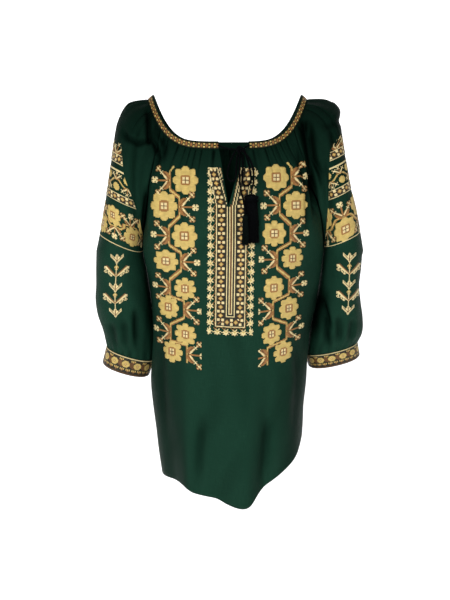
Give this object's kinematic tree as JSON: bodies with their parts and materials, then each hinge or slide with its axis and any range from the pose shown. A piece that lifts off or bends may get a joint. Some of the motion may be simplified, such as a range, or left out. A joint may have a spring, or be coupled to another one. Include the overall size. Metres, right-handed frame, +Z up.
{
  "type": "embroidered peasant blouse",
  "caption": "Long raglan peasant blouse, gathered into a neckband with a V slit, tasselled ties, full three-quarter sleeves on cuffs, dark green with gold floral embroidery.",
  "frame": {"origin": "on the wearer's shoulder line, midway between the two shoulder tops", "axes": "+Z up along the length of the blouse, -Y to the front, +X to the wearer's left, which is the viewer's right"},
  "size_m": [0.4515, 0.2467, 0.6579],
  "materials": {
    "cloth": "dark green plain-woven cotton and viscose with a faint slub and a soft sheen",
    "embroidery": "machine satin stitch in pale gold, copper brown and cream on the green cloth",
    "cord": "blue-black twisted cord and tassel yarn"
  },
  "bodies": {
    "root": {"front": "cloth", "back": "cloth", "sleeve_left": "cloth", "sleeve_right": "cloth", "neckband": "embroidery", "cuff_left": "embroidery", "cuff_right": "embroidery", "tie_cross_left": "cord", "tie_cross_right": "cord", "tie_loop_left": "cord", "tie_loop_right": "cord", "tie_end_left": "cord", "tie_end_right": "cord", "tie_knot": "cord", "tassel_right": "cord", "tassel_left": "cord"}
  },
  "joints": []
}
